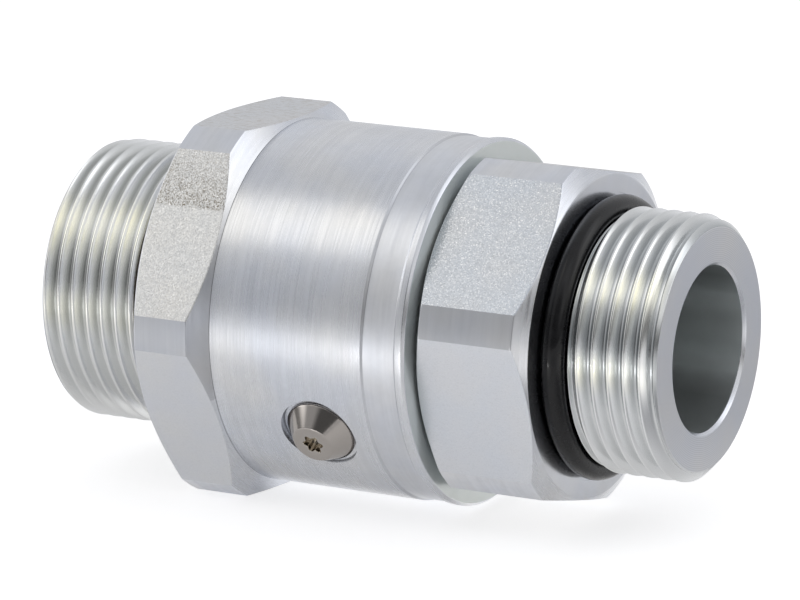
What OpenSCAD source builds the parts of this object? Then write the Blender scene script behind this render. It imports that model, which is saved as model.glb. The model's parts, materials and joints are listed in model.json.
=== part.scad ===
// In-line live swivel fitting: a face-seal male end with a hexagon and a turned
// barrel, and inside it a stem on a row of balls that ends in an O-ring stud.
// +X runs along the axis towards the stud, +Z is up. The origin lies on the axis,
// midway between the proud face O-ring and the stud's end.
// The two threads are plain cylinders of the major diameter.

/* [Face-seal end] */
// Major diameter of the face-seal thread
face_thread_d = 36.51; // [36:0.1:37.5]
// Length of the threaded end, from the sealing face to the hexagon
face_end_l = 17.45; // [16.5:0.1:20]
// Depth of the 45 degree chamfer at the start of the face-seal thread
face_chamfer = 0.9; // [0.5:0.1:1.2]
// Width of the relief between the face-seal thread and the hexagon
face_relief_w = 2.4; // [1.5:0.1:3]
// Depth of the relief below the face-seal thread's major diameter
face_relief_h = 1.3; // [1:0.1:1.5]
// Flow bore of the housing
face_bore_d = 20.5; // [18:0.5:21]
// Mean diameter of the groove in the sealing face
face_groove_d = 25.3; // [25:0.1:26]
// Width of the groove in the sealing face
face_groove_w = 2.1; // [2:0.1:2.3]
// Depth of the groove in the sealing face
face_groove_h = 1.35; // [1.2:0.05:1.5]
// Section of the face O-ring
face_ring_section = 1.78; // [1.7:0.02:1.9]

/* [Housing] */
// Hexagon of the housing, across its flats
housing_hex_af = 47.625; // [46:0.125:50]
// Diameter to which the corners of the housing's hexagon are turned
housing_hex_d = 52.6; // [51.5:0.1:54]
// Length of the housing's hexagon, chamfers included
housing_hex_w = 10.65; // [10:0.1:14]
// Diameter of the turned barrel
barrel_d = 46.8; // [44:0.1:47.4]
// Length of the turned barrel
barrel_l = 27.5; // [27.3:0.1:30]
// Chamfer on the barrel's open end
barrel_chamfer = 0.35; // [0.2:0.05:0.5]
// Width of the lip between the marking band and the open end
band_lip_w = 1.2; // [1:0.1:1.6]
// Width of the recessed marking band
band_w = 4.6; // [4:0.1:5.5]
// Depth of the marking band
band_h = 0.25; // [0.1:0.05:0.4]

/* [Swivel stem] */
// Hexagon of the stem, across its flats
stem_hex_af = 41.275; // [40:0.125:42]
// Diameter to which the corners of the stem's hexagon are turned
stem_hex_d = 45.4; // [44:0.1:46.4]
// Length of the stem's hexagon, chamfers included
stem_hex_w = 15.3; // [13:0.1:18]
// Turn of the stem's hexagon from the housing's one, in degrees
stem_turn = -12.5; // [-30:0.5:30]
// Gap between the barrel's open end and the stem's hexagon
swivel_gap = 0.28; // [0.2:0.02:0.5]
// How far the journal's surface lies outside the pitch circle of the balls
journal_rise = 0.05; // [0:0.01:0.2]
// Radial running clearance of the journal, the wear rings and the wiper
running_gap = 0.05; // [0.02:0.01:0.1]
// Land between the pressure seal's groove and the inner end of the stem
nose_land = 1.6; // [1.2:0.1:2]
// Chamfer on the inner end of the stem
nose_chamfer = 0.8; // [0.4:0.1:1]
// Gap between the inner end of the stem and the floor of the socket
nose_gap = 0.5; // [0.3:0.1:1]

/* [Stud end] */
// Major diameter of the stud's thread
stud_thread_d = 33.34; // [33:0.1:34]
// Length of the stud, from the hexagon to its tip
stud_l = 14.85; // [14:0.1:17]
// Length along the axis of the tip's chamfer
stud_chamfer_l = 1.25; // [1:0.05:1.5]
// Height of the tip's chamfer on the radius
stud_chamfer_h = 1.37; // [1:0.01:1.6]
// Depth of the O-ring relief below the stud thread's major diameter
stud_relief_h = 1.72; // [1.5:0.01:2]
// Section of the stud's O-ring
stud_ring_section = 2.95; // [2.8:0.05:3.1]
// Clearance of the O-ring from the sloping flank of its relief and the rim of its seat
stud_ring_gap = 0.17; // [0.05:0.01:0.3]
// Depth of the O-ring's shallow seat in the face of the stem's hexagon
ring_seat_h = 0.1; // [0.05:0.05:0.2]
// Flow bore of the stem
stud_bore_d = 20.9; // [19:0.1:21.5]
// Chamfer at the mouth of the stem's bore
stud_bore_chamfer = 0.4; // [0.2:0.05:0.7]

/* [Ball bearing] */
// Diameter of a bearing ball
ball_d = 6.35; // [6.3:0.01:6.36]
// Least gap between neighbouring balls in the full row
ball_play = 0.04; // [0.02:0.01:0.2]
// Wall of the barrel outside the race
race_wall = 3.7; // [3.4:0.1:4.2]
// Radius of the race grooves over the radius of the ball
race_relief = 0.125; // [0.1:0.005:0.15]
// Distance of the ball row from the barrel's open end
race_from_mouth = 13.55; // [13.4:0.05:13.9]
// Land on either side of the race in the stem
race_land = 1.5; // [1.3:0.1:1.6]

/* [Loading port] */
// Angle of the port round the axis, from +Z towards -Y
port_angle = 120; // [60:5:180]
// Clearance of a ball in the loading hole, on the diameter
loading_gap = 0.25; // [0.2:0.05:0.4]
// Clearance of the loading plug in its hole, on the radius
plug_gap = 0.05; // [0.02:0.01:0.1]
// Thickness of the loading plug above the race
plug_crown = 0.9; // [0.7:0.1:1]
// Thread of the plug screw, major diameter
screw_d = 8; // [7.5:0.1:8.5]
// Depth of the counterbore below the barrel's surface
cbore_h = 0.9; // [0.7:0.05:1]
// Clearance of the screw's head in the counterbore, on the radius
cbore_gap = 0.6; // [0.2:0.05:0.9]
// Diameter of the screw's head at its base
screw_head_d = 9.2; // [8.8:0.1:9.6]
// Height of the screw's head
screw_head_h = 2.65; // [2.2:0.05:3]
// Height of the straight rim at the base of the head
screw_rim_h = 0.35; // [0.2:0.05:0.6]
// Diameter of the flat on top of the head
screw_top_d = 5.4; // [5:0.1:6]
// Size over the lobes of the driver recess
recess_d = 2.8; // [2.6:0.1:3]
// Diameter of one lobe of the driver recess
recess_lobe_d = 0.95; // [0.8:0.05:1]
// Diameter of the driver recess between its lobes
recess_core_d = 2; // [1.8:0.1:2.2]
// Depth of the driver recess
recess_h = 1.5; // [1:0.1:2]

/* [Seals and wear rings] */
// Land between the open end and the wiper's groove
mouth_land = 1.4; // [1.2:0.1:1.6]
// Chamfer at the mouth of the socket
mouth_chamfer = 0.7; // [0.4:0.1:0.9]
// Width of the wiper's groove
wiper_groove_w = 2.6; // [2.4:0.1:2.8]
// Depth of the wiper's groove
wiper_groove_h = 2.4; // [2:0.1:2.6]
// Height of the wiper's two lips over the hollow between them
wiper_lip_h = 0.8; // [0.6:0.1:1]
// Width of each of the wiper's lips where it meets the stem
wiper_lip_w = 0.5; // [0.3:0.05:0.6]
// Lead-in chamfer on the wiper's outer lip
wiper_lead = 0.3; // [0.2:0.05:0.4]
// Width of a wear ring's groove
wear_groove_w = 3.6; // [3.2:0.1:3.7]
// Thickness of a wear ring
wear_ring_t = 1.5; // [1.2:0.1:1.8]
// Width of the slanted split in a wear ring
wear_split_w = 1.2; // [0.8:0.1:2]
// Slant of the split in a wear ring, in degrees
wear_split_slant = 45; // [30:5:60]
// Land between the rear wear ring and the pressure seal's groove
seal_land = 1.5; // [1.2:0.1:2]
// Radial height of the squeezed pressure seal
seal_h = 2.1; // [1.8:0.1:2.4]
// Axial width of the squeezed pressure seal
seal_w = 2.9; // [2.6:0.1:3.2]
// Width of a back-up ring
backup_w = 1.2; // [1:0.1:1.5]
// Play between pieces that lie together in a groove
seat_gap = 0.05; // [0.02:0.01:0.1]

/* [Hidden] */
$fn = 96;
// How far a cutting shape or a joined root runs past the face that it meets
cut = 0.5;

// Stations along the axis
face_ring_proud = face_ring_section + seat_gap - face_groove_h;
housing_l = face_end_l + housing_hex_w + barrel_l;
fitting_l = housing_l + swivel_gap + stem_hex_w + stud_l;
x_face = (face_ring_proud - fitting_l) / 2;
x_hex = x_face + face_end_l;
x_barrel = x_hex + housing_hex_w;
x_mouth = x_barrel + barrel_l;
x_stem_hex = x_mouth + swivel_gap;
x_shoulder = x_stem_hex + stem_hex_w;
x_tip = x_shoulder + stud_l;
x_race = x_mouth - race_from_mouth;

// The ball row is full: it holds as many balls as its pitch circle has room for
race_r = ball_d / 2 + race_relief;
pitch_r = barrel_d / 2 - race_wall - race_r;
ball_count = floor(180 / asin((ball_d + ball_play) / 2 / pitch_r));
function two_digits(i) = str(i < 10 ? "0" : "", i);
BALLS = [for (i = [1:ball_count]) str("ball_", two_digits(i))];

// Radii and stations of the bearing and the seals
journal_r = pitch_r + journal_rise;
socket_r = journal_r + running_gap;
x_front_wear = x_race + race_r + race_land;
x_rear_wear = x_race - race_r - race_land - wear_groove_w;
wear_floor_r = socket_r - running_gap - wear_ring_t - seat_gap;
wear_ring_w = wear_groove_w - 2 * seat_gap;
gland_w = seal_w + 2 * backup_w + 4 * seat_gap;
gland_floor_r = socket_r - running_gap - seal_h - seat_gap;
x_gland = x_rear_wear - seal_land - gland_w;
x_nose = x_gland - nose_land;
x_socket = x_nose - nose_gap;
x_wiper = x_mouth - mouth_land - wiper_groove_w;
wiper_floor_r = socket_r + wiper_groove_h;
face_groove_r = face_groove_d / 2;
face_relief_r = face_thread_d / 2 - face_relief_h;
stud_thread_r = stud_thread_d / 2;
stud_relief_r = stud_thread_r - stud_relief_h;
// Width of the relief's floor, which lets the ring clear a flank that rises at 45 degrees
stud_relief_floor_w = sqrt(2) * (stud_ring_section / 2 + stud_ring_gap);
x_ring_seat = x_shoulder - ring_seat_h;
ring_seat_r = stud_relief_r + seat_gap + stud_ring_section + stud_ring_gap;

// Levels of the loading port, measured outwards from the axis
loading_r = (ball_d + loading_gap) / 2;
port_step_r = pitch_r + race_r + plug_crown;
cbore_floor_r = barrel_d / 2 - cbore_h;
cbore_r = screw_head_d / 2 + cbore_gap;
port_open_r = barrel_d / 2 + cut;

// Rise along the axis of a 30 degree chamfer, for each unit of radius
hex_chamfer_slope = tan(30);
// How far the round face of a hexagon lies inside its flats
hex_face_step = 0.15;
zinc = [0.76, 0.78, 0.81];
stainless = [0.62, 0.60, 0.57];
bright_steel = [0.85, 0.86, 0.88];
black_rubber = [0.08, 0.08, 0.09];
white_polymer = [0.92, 0.91, 0.86];
brown_polymer = [0.45, 0.30, 0.18];
green_polymer = [0.20, 0.35, 0.30];

// Turns a profile of [radius, x] points about the axis
module turned(points) {
    rotate([0, 90, 0])
        rotate_extrude()
            polygon(points);
}

// Plain cylinder on the axis from one station to another
module rod(from, to, r) {
    translate([from, 0, 0])
        rotate([0, 90, 0])
            cylinder(h = to - from, r = r);
}

// Ring with a round section on the axis
module round_ring(x, mean_r, section) {
    rotate([0, 90, 0])
        rotate_extrude()
            translate([mean_r, x])
                circle(d = section);
}

// Ring with a square section on the axis
module square_ring(x, width, inner_r, outer_r) {
    difference() {
        rod(x, x + width, outer_r);
        rod(x - cut, x + width + cut, inner_r);
    }
}

// Hexagon with turned corners and 30 degree chamfers down to the end radii
module hexagon(x, width, flats, corner_d, start_r, end_r, turn) {
    corner_r = corner_d / 2;
    start_l = (corner_r - start_r) * hex_chamfer_slope;
    end_l = (corner_r - end_r) * hex_chamfer_slope;
    intersection() {
        translate([x, 0, 0])
            rotate([turn, 0, 0])
                rotate([0, 90, 0])
                    rotate([0, 0, 30])
                        cylinder(h = width, d = flats / cos(30), $fn = 6);
        turned([
            [0, x],
            [start_r, x],
            [corner_r, x + start_l],
            [corner_r, x + width - end_l],
            [end_r, x + width],
            [0, x + width],
        ]);
    }
}

// Places its children on the port's axis, with +Z outwards
module at_port() {
    translate([x_race, 0, 0])
        rotate([port_angle, 0, 0])
            children();
}

// Groove that the ball row runs in, cut half from the housing and half from the stem
module race_groove() {
    round_ring(x_race, pitch_r, 2 * race_r);
}

// Outside of the housing: threaded end, hexagon and barrel with the marking band
module housing_outside() {
    thread_r = face_thread_d / 2;
    barrel_r = barrel_d / 2;
    band_end = x_mouth - band_lip_w;
    turned([
        [0, x_face],
        [thread_r - face_chamfer, x_face],
        [thread_r, x_face + face_chamfer],
        [thread_r, x_hex - face_relief_w],
        [face_relief_r, x_hex - face_relief_w + face_relief_h],
        [face_relief_r, x_hex + cut],
        [0, x_hex + cut],
    ]);
    hexagon(x_hex, housing_hex_w + cut * hex_chamfer_slope, housing_hex_af, housing_hex_d,
        housing_hex_af / 2 - hex_face_step, barrel_r - cut, 0);
    turned([
        [0, x_barrel - cut],
        [barrel_r, x_barrel - cut],
        [barrel_r, band_end - band_w - band_h],
        [barrel_r - band_h, band_end - band_w],
        [barrel_r - band_h, band_end - band_h],
        [barrel_r, band_end],
        [barrel_r, x_mouth - barrel_chamfer],
        [barrel_r - barrel_chamfer, x_mouth],
        [0, x_mouth],
    ]);
}

// Ball-loading hole, the screw's tapped hole and its counterbore
module loading_port() {
    at_port() {
        translate([0, 0, pitch_r])
            cylinder(h = port_step_r - pitch_r + cut, r = loading_r);
        translate([0, 0, port_step_r])
            cylinder(h = cbore_floor_r - port_step_r + cut, d = screw_d);
        translate([0, 0, cbore_floor_r])
            cylinder(h = port_open_r - cbore_floor_r, r = cbore_r);
    }
}

module housing() {
    color(zinc)
        difference() {
            housing_outside();
            rod(x_face - cut, x_socket + cut, face_bore_d / 2);
            rod(x_socket, x_mouth + cut, socket_r);
            turned([
                [0, x_mouth - mouth_chamfer],
                [socket_r, x_mouth - mouth_chamfer],
                [socket_r + mouth_chamfer, x_mouth],
                [socket_r + mouth_chamfer, x_mouth + cut],
                [0, x_mouth + cut],
            ]);
            rod(x_wiper, x_wiper + wiper_groove_w, wiper_floor_r);
            square_ring(x_face - cut, face_groove_h + cut,
                face_groove_r - face_groove_w / 2, face_groove_r + face_groove_w / 2);
            race_groove();
            loading_port();
        }
}

module swivel_stem() {
    x_flank = x_ring_seat + stud_relief_floor_w;
    color(zinc)
        difference() {
            union() {
                turned([
                    [0, x_nose],
                    [journal_r - nose_chamfer * hex_chamfer_slope, x_nose],
                    [journal_r, x_nose + nose_chamfer],
                    [journal_r, x_stem_hex + cut],
                    [0, x_stem_hex + cut],
                ]);
                difference() {
                    hexagon(x_stem_hex, stem_hex_w, stem_hex_af, stem_hex_d,
                        stem_hex_af / 2 - hex_face_step, stem_hex_af / 2 - hex_face_step, stem_turn);
                    rod(x_ring_seat, x_shoulder + cut, ring_seat_r);
                }
                turned([
                    [0, x_shoulder - cut],
                    [stud_relief_r, x_shoulder - cut],
                    [stud_relief_r, x_flank],
                    [stud_thread_r, x_flank + stud_relief_h],
                    [stud_thread_r, x_tip - stud_chamfer_l],
                    [stud_thread_r - stud_chamfer_h, x_tip],
                    [0, x_tip],
                ]);
            }
            rod(x_nose - cut, x_tip + cut, stud_bore_d / 2);
            turned([
                [0, x_tip - stud_bore_chamfer],
                [stud_bore_d / 2, x_tip - stud_bore_chamfer],
                [stud_bore_d / 2 + stud_bore_chamfer, x_tip],
                [stud_bore_d / 2 + stud_bore_chamfer, x_tip + cut],
                [0, x_tip + cut],
            ]);
            race_groove();
            square_ring(x_front_wear, wear_groove_w, wear_floor_r, socket_r + cut);
            square_ring(x_rear_wear, wear_groove_w, wear_floor_r, socket_r + cut);
            square_ring(x_gland, gland_w, gland_floor_r, socket_r + cut);
        }
}

// Slug that closes the loading hole; its hollow tip completes the outer race
module loading_plug() {
    color(bright_steel)
        difference() {
            at_port()
                translate([0, 0, pitch_r])
                    cylinder(h = port_step_r - pitch_r, r = loading_r - plug_gap);
            race_groove();
        }
}

// Six-lobe driver recess, cut down from the top of the screw's head
module driver_recess() {
    cylinder(h = recess_h + cut, d = recess_core_d);
    for (angle = [0:60:300])
        rotate([0, 0, angle])
            translate([(recess_d - recess_lobe_d) / 2, 0, 0])
                cylinder(h = recess_h + cut, d = recess_lobe_d);
}

module plug_screw() {
    head_base = cbore_floor_r + seat_gap;
    color(stainless)
        at_port()
            difference() {
                rotate_extrude()
                    polygon([
                        [0, port_step_r + seat_gap],
                        [screw_d / 2 - plug_gap, port_step_r + seat_gap],
                        [screw_d / 2 - plug_gap, head_base],
                        [screw_head_d / 2, head_base],
                        [screw_head_d / 2, head_base + screw_rim_h],
                        [screw_top_d / 2, head_base + screw_head_h],
                        [0, head_base + screw_head_h],
                    ]);
                translate([0, 0, head_base + screw_head_h - recess_h])
                    driver_recess();
            }
}

// Bearing ball number i, counted from the loading port, which lies midway between two
module ball(i) {
    pitch_angle = 360 / ball_count;
    color(bright_steel)
        translate([x_race, 0, 0])
            rotate([port_angle + (i - 0.5) * pitch_angle, 0, 0])
                translate([0, 0, pitch_r])
                    sphere(d = ball_d);
}

// Wiper with its heel in the housing's groove and two lips on the stem
module dust_wiper() {
    heel_r = wiper_floor_r - seat_gap;
    inner_x = x_wiper + seat_gap;
    outer_x = x_wiper + wiper_groove_w - seat_gap;
    lip_r = journal_r + running_gap;
    color(green_polymer)
        turned([
            [heel_r, inner_x],
            [heel_r, outer_x],
            [lip_r + wiper_lead, outer_x],
            [lip_r, outer_x - wiper_lead],
            [lip_r, outer_x - wiper_lip_w],
            [lip_r + wiper_lip_h, (inner_x + outer_x) / 2],
            [lip_r, inner_x + wiper_lip_w],
            [lip_r, inner_x],
        ]);
}

// Wear ring cut from strip, with a slanted split so that it springs into its groove
module wear_ring(x) {
    inner_r = wear_floor_r + seat_gap;
    color(brown_polymer)
        difference() {
            square_ring(x + seat_gap, wear_ring_w, inner_r, inner_r + wear_ring_t);
            translate([x + wear_groove_w / 2, 0, inner_r])
                rotate([0, 0, wear_split_slant])
                    cube([4 * wear_groove_w, wear_split_w, 4 * wear_ring_t], center = true);
        }
}

module front_wear_ring() {
    wear_ring(x_front_wear);
}

module rear_wear_ring() {
    wear_ring(x_rear_wear);
}

// Pressure seal as it lies squeezed in its groove: flat outside and inside, round sides
module pressure_seal() {
    side_r = seal_h / 2;
    x_mid = x_gland + gland_w / 2;
    mean_r = gland_floor_r + seat_gap + side_r;
    color(black_rubber)
        rotate([0, 90, 0])
            rotate_extrude()
                translate([mean_r, x_mid]) {
                    square([seal_h, seal_w - seal_h], center = true);
                    translate([0, (seal_w - seal_h) / 2])
                        circle(r = side_r);
                    translate([0, (seal_h - seal_w) / 2])
                        circle(r = side_r);
                }
}

module backup_ring(x) {
    inner_r = gland_floor_r + seat_gap;
    color(white_polymer)
        square_ring(x, backup_w, inner_r, inner_r + seal_h);
}

module front_backup_ring() {
    backup_ring(x_gland + gland_w - seat_gap - backup_w);
}

module rear_backup_ring() {
    backup_ring(x_gland + seat_gap);
}

module face_o_ring() {
    color(black_rubber)
        round_ring(x_face + face_groove_h - seat_gap - face_ring_section / 2,
            face_groove_r, face_ring_section);
}

module stud_o_ring() {
    color(black_rubber)
        round_ring(x_ring_seat + seat_gap + stud_ring_section / 2,
            stud_relief_r + seat_gap + stud_ring_section / 2, stud_ring_section);
}

housing();
swivel_stem();
loading_plug();
plug_screw();
dust_wiper();
front_wear_ring();
rear_wear_ring();
pressure_seal();
front_backup_ring();
rear_backup_ring();
face_o_ring();
stud_o_ring();
for (i = [1:ball_count])
    ball(i);
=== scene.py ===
import json
import math

import bmesh
import bpy
import numpy as np
from mathutils import Matrix, Vector


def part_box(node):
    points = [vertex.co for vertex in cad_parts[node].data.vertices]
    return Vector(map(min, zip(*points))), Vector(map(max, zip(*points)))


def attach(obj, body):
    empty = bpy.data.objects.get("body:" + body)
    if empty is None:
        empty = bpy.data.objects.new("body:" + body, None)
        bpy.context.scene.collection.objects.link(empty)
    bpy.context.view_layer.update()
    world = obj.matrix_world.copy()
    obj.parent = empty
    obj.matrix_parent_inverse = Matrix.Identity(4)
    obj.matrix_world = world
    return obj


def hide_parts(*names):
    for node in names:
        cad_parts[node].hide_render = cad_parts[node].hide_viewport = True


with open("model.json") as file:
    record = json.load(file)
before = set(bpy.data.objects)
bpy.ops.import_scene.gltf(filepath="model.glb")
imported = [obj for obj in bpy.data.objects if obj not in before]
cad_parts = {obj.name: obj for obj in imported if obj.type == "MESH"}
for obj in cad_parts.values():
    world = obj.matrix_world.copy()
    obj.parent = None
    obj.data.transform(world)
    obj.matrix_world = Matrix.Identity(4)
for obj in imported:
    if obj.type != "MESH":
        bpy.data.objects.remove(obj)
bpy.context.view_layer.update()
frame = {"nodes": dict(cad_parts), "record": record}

# Sizes, in millimetres
MM = 0.001
housing_low, housing_high = [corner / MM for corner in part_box("housing")]
stem_low, stem_high = [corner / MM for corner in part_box("swivel_stem")]
ring_low, ring_high = [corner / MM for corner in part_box("stud_o_ring")]
face_ring_low, face_ring_high = [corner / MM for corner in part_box("face_o_ring")]
mounts = {mount["name"]: mount for mount in frame["record"]["mounts"]}


def mount_r(name):
    """Radius of a mount of the record."""
    return mounts[name]["dims"]["r_mm"]


def mount_x(name):
    """Station of a mount of the record along the axis."""
    return mounts[name]["pos_m"][0] / MM


# Both threads are 12 to the inch
PITCH = 25.4 / 12
THREAD_DEPTH = 0.6134 * PITCH
# Form between crest and root (share of the way, share of the depth), margin below the roots, wall's rows
THREAD_FORM = ((0.08, 0.01), (0.20, 0.13), (0.50, 0.56), (0.76, 0.92), (0.90, 1.0))
ROOT_MARGIN = 0.2
ROW_STEP = PITCH / 30
# Where a crest of each thread passes the top, as counted on the photograph
FACE_CREST_X = -42.72
STUD_CREST_X = 40.935

FACE_X = housing_low.x
MOUTH_X = housing_high.x
FACE_THREAD_R = mount_r("face_thread")
FACE_BORE_R = mount_r("face_bore")
FACE_END_L = 17.45
FACE_CHAMFER = 0.6
FACE_RELIEF_W = 4.0
FACE_RELIEF_H = 1.3
FACE_RELIEF_SLOPE = 0.6
FACE_GROOVE = {"mean_r": 12.65, "w": 2.1, "h": 1.35}
HEX_X = FACE_X + FACE_END_L
RELIEF_X = HEX_X - FACE_RELIEF_W
HEX_W = 10.65
HEX_HALF = housing_high.z
HEX_CORNER_R = housing_high.y
BARREL_X = HEX_X + HEX_W
BARREL_R = 23.4
BARREL_CHAMFER = 0.35
SEAM_W = 0.1
BAND = {"lip": 1.2, "w": 4.6, "h": 0.25}

STEM_HEX_X = MOUTH_X + 0.28
STEM_HEX_HALF = 20.6375
STEM_CORNER_R = 22.7
STEM_TURN = -12.5
SHOULDER_X = mount_x("stud_shoulder")
TIP_X = stem_high.x
NOSE_X = stem_low.x
STUD_R = mount_r("stud_thread")
STEM_BORE_R = mount_r("stem_bore")
STUD_RELIEF_R = STUD_R - 1.72
NOSE_CHAMFER_L = 0.8
STUD_CHAMFER = {"l": 1.25, "h": 1.37}
BORE_CHAMFER = 0.4
RING_SECTION = 2.95
RING_SEAT = {"r": 18.12, "h": 0.1}
FLANK_X = 30.631
# Each thread is cut from one station to the next; inside a span and above its radius no edge is hard
FACE_CUT = (FACE_X + 0.3, RELIEF_X + 0.25)
FACE_SMOOTH = (FACE_X - 1, HEX_X - 0.4, FACE_THREAD_R - THREAD_DEPTH - 0.3)
STUD_CUT = (FLANK_X - 1, TIP_X + 0.1)
STUD_SMOOTH = (FLANK_X, TIP_X - 0.1, STUD_R - THREAD_DEPTH - 0.5)

SOCKET_R = 16.5
JOURNAL_R = 16.45
MOUTH_CHAMFER = 0.7
SOCKET_X = NOSE_X - 0.5
WIPER = {"x": 8.825, "w": 2.6, "r": 18.9}
RACE = {"x": -0.725, "mean_r": 16.4, "r": 3.3}
FRONT_WEAR_X = 4.075
REAR_WEAR_X = -9.125
WEAR_GROOVE = {"w": 3.6, "r": 14.9}
GLAND = {"x": -16.125, "w": 5.5, "r": 14.3}

PORT_ANGLE = 120
PORT_STEP_R = 20.6
CBORE_FLOOR_R = 22.5
CBORE_R = 5.2
CBORE_LINE_W = 0.15
FLOOR_MARGIN = 0.01
LOADING_R = 3.3
SCREW_R = 4.0
SCREW_GAP = 0.05
HEAD_BASE_R = 22.55
HEAD = {"r": 4.6, "rim": 0.35, "h": 2.65, "top_r": 2.7}
RECESS = {"r": 1.4, "lobe": 0.2, "h": 1.5, "cone": 0.3}
LOBE_MARGIN = 0.12

# A hexagon's end chamfers rise 30 degrees, and its round end face lies a little inside the flats
HEX_SLOPE = math.tan(math.radians(30))
HEX_STEP = 0.15
SHARP_ANGLE = math.radians(24)
# Rounds of the edges, from fine to wide, and the share of a face that a round may take
FINE_EDGE = 0.05
EDGE = 0.08
WIDE_EDGE = 0.1
FOOT_FILLET = 0.2
FILLET_STEPS = 4
MOST_TRIM = 0.45
# A long face has rows of its own near its ends, no further in than a share of its length
LONG_FACE = 0.8
END_ROW = 0.2
END_SHARE = 0.3
# Rows of the long turned walls, and how finely round pieces are divided
BORE_STEP = 3.0
BARREL_STEP = 2.0
BAND_STEP = 1.0
FLAT_STEPS = 28
CORNER_STEPS = 8
RING_COLUMNS = 180
RING_STEPS = 40
PORT_SIDES = 96


# Nodes and materials
class Nodes:
    """Nodes of a tree, with short calls to add and join them."""

    def __init__(self, tree):
        self.nodes = tree.nodes
        self.links = tree.links

    def add(self, kind, inputs=None, **settings):
        """Adds a node; each input is given by name or number, as a value or as another node's output."""
        node = self.nodes.new(kind)
        for key, value in settings.items():
            setattr(node, key, value)
        for key, value in (inputs or {}).items():
            if isinstance(value, bpy.types.NodeSocket):
                self.links.new(value, node.inputs[key])
            else:
                node.inputs[key].default_value = value
        return node

    def maths(self, operation, *values):
        """Output of a Math node."""
        return self.add("ShaderNodeMath", dict(enumerate(values)), operation=operation).outputs[0]

    def vector(self, operation, inputs):
        """Output of a Vector Math node."""
        return self.add("ShaderNodeVectorMath", inputs, operation=operation).outputs[0]

    def spread(self, value, low, high, to_low, to_high, **settings):
        """Value carried from one span to another, and held at its ends."""
        inputs = {0: value, 1: low, 2: high, 3: to_low, 4: to_high}
        return self.add("ShaderNodeMapRange", inputs, **settings).outputs[0]

    def blend(self, share, first, second):
        """Colour between two others."""
        is_output = [isinstance(colour, bpy.types.NodeSocket) for colour in (first, second)]
        first, second = [c if out else (*c, 1) for c, out in zip((first, second), is_output)]
        return self.add("ShaderNodeMix", {0: share, 6: first, 7: second}, data_type="RGBA").outputs[2]


class Finish(Nodes):
    """A material, with what its colour, roughness and bump are made from."""

    def __init__(self, name, colour, roughness, metallic=1.0):
        self.material = bpy.data.materials.new(name)
        self.material.use_nodes = True
        self.material.diffuse_color = (*colour, 1)
        super().__init__(self.material.node_tree)
        self.roughness = roughness
        self.shader = self.nodes["Principled BSDF"]
        self.set(Base_Color=(*colour, 1), Roughness=roughness, Metallic=metallic)
        place = self.add("ShaderNodeTexCoord").outputs["Object"]
        self.place = self.vector("SCALE", {0: place, "Scale": 1 / MM})

    def set(self, **values):
        """Sets the shader's own sockets."""
        for name, value in values.items():
            self.shader.inputs[name.replace("_", " ")].default_value = value

    def wire(self, **sockets):
        """Joins outputs to the shader's inputs."""
        for name, output in sockets.items():
            self.links.new(output, self.shader.inputs[name.replace("_", " ")])
        return self.material

    def noise(self, scale, detail=3.0, stretch=(1, 1, 1), rough=0.5):
        """Noise with that many features to the millimetre, drawn out along the axes by a stretch."""
        stretched = self.vector("MULTIPLY", {0: self.place, 1: stretch})
        inputs = {"Vector": stretched, "Scale": scale, "Detail": detail, "Roughness": rough}
        return self.add("ShaderNodeTexNoise", inputs).outputs["Fac"]

    def share(self, noise, low=0.35, high=0.65, most=1.0):
        """Share that grows with a noise, from 0 to its most."""
        return self.spread(noise, low, high, 0, most)

    def roughened(self, noise, less, more):
        """Roughness that goes with a noise from less to more than the finish's own."""
        return self.spread(noise, 0.3, 0.7, self.roughness - less, self.roughness + more)

    def angle(self):
        """Angle round the axis from +Z towards -Y, in degrees."""
        parts = self.add("ShaderNodeSeparateXYZ", {0: self.place}).outputs
        across = self.maths("MULTIPLY", parts["Y"], -1)
        return self.maths("DEGREES", self.maths("ARCTAN2", across, parts["Z"]))

    def radius(self):
        """Distance from the axis, in millimetres."""
        parts = self.add("ShaderNodeSeparateXYZ", {0: self.place}).outputs
        squares = [self.maths("MULTIPLY", parts[way], parts[way]) for way in ("Y", "Z")]
        return self.maths("SQRT", self.maths("ADD", *squares))

    def near(self, value, centre, half_width):
        """1 at the centre, falling smoothly to 0 at the half width."""
        away = self.maths("ABSOLUTE", self.maths("SUBTRACT", value, centre))
        return self.spread(away, 0.0, half_width, 1.0, 0.0, interpolation_type="SMOOTHERSTEP")

    def grains(self, size, tilt):
        """Random tone for each grain of that size in millimetres, and a normal that leans a little."""
        cells = self.add("ShaderNodeTexVoronoi", {"Vector": self.place, "Scale": 1 / size}).outputs["Color"]
        off = self.vector("SUBTRACT", {0: cells, 1: (0.5, 0.5, 0.5)})
        lean = self.vector("SCALE", {0: off, "Scale": tilt})
        upright = self.add("ShaderNodeNewGeometry").outputs["Normal"]
        normal = self.vector("NORMALIZE", {0: self.vector("ADD", {0: upright, 1: lean})})
        return self.add("ShaderNodeSeparateXYZ", {0: cells}).outputs["X"], normal

    def bump(self, height, depth):
        """Bump of that depth in millimetres."""
        inputs = {"Height": height, "Distance": depth * MM, "Strength": 1.0}
        return self.add("ShaderNodeBump", inputs).outputs[0]


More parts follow.
